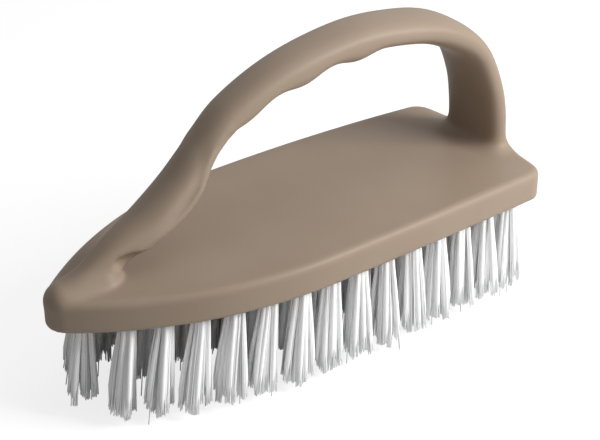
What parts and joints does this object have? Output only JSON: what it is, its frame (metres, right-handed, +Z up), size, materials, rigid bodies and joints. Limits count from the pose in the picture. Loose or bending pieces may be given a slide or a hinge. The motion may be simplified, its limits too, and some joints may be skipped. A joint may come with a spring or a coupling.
{
  "type": "scrub brush",
  "caption": "Hand scrub brush: flat-iron shaped plastic block with a moulded loop handle, finger ridges under the grip, and rows of stiff filament tufts below.",
  "frame": {"origin": "centre of the object's outline at the level of the filament tips", "axes": "+Z up, nose towards -X, heel towards +X, near side in the picture towards -Y"},
  "size_m": [0.15, 0.0596, 0.0868],
  "materials": {
    "body_plastic": "satin taupe moulded plastic with a very fine texture and softly rounded edges",
    "anchor_metal": "plain flat wire",
    "filament": "straight, stiff, slightly see-through white filament, cut and not flagged"
  },
  "bodies": {
    "root": {"brush_body": "body_plastic", "tuft_anchors": "anchor_metal", "tuft_nose": "filament", "tuft_near_1": "filament", "tuft_near_2": "filament", "tuft_near_3": "filament", "tuft_near_4": "filament", "tuft_near_5": "filament", "tuft_near_6": "filament", "tuft_near_7": "filament", "tuft_near_8": "filament", "tuft_near_9": "filament", "tuft_near_10": "filament", "tuft_near_11": "filament", "tuft_near_12": "filament", "tuft_near_13": "filament", "tuft_near_14": "filament", "tuft_far_1": "filament", "tuft_far_2": "filament", "tuft_far_3": "filament", "tuft_far_4": "filament", "tuft_far_5": "filament", "tuft_far_6": "filament", "tuft_far_7": "filament", "tuft_far_8": "filament", "tuft_far_9": "filament", "tuft_far_10": "filament", "tuft_far_11": "filament", "tuft_far_12": "filament", "tuft_far_13": "filament", "tuft_far_14": "filament", "tuft_middle_1": "filament", "tuft_middle_2": "filament", "tuft_middle_3": "filament", "tuft_middle_4": "filament", "tuft_middle_5": "filament", "tuft_middle_6": "filament", "tuft_middle_7": "filament", "tuft_middle_8": "filament", "tuft_middle_9": "filament", "tuft_middle_10": "filament", "tuft_inner_near_1": "filament", "tuft_inner_near_2": "filament", "tuft_inner_near_3": "filament", "tuft_inner_near_4": "filament", "tuft_inner_near_5": "filament", "tuft_inner_near_6": "filament", "tuft_inner_near_7": "filament", "tuft_inner_near_8": "filament", "tuft_inner_far_1": "filament", "tuft_inner_far_2": "filament", "tuft_inner_far_3": "filament", "tuft_inner_far_4": "filament", "tuft_inner_far_5": "filament", "tuft_inner_far_6": "filament", "tuft_inner_far_7": "filament", "tuft_inner_far_8": "filament"}
  },
  "joints": []
}
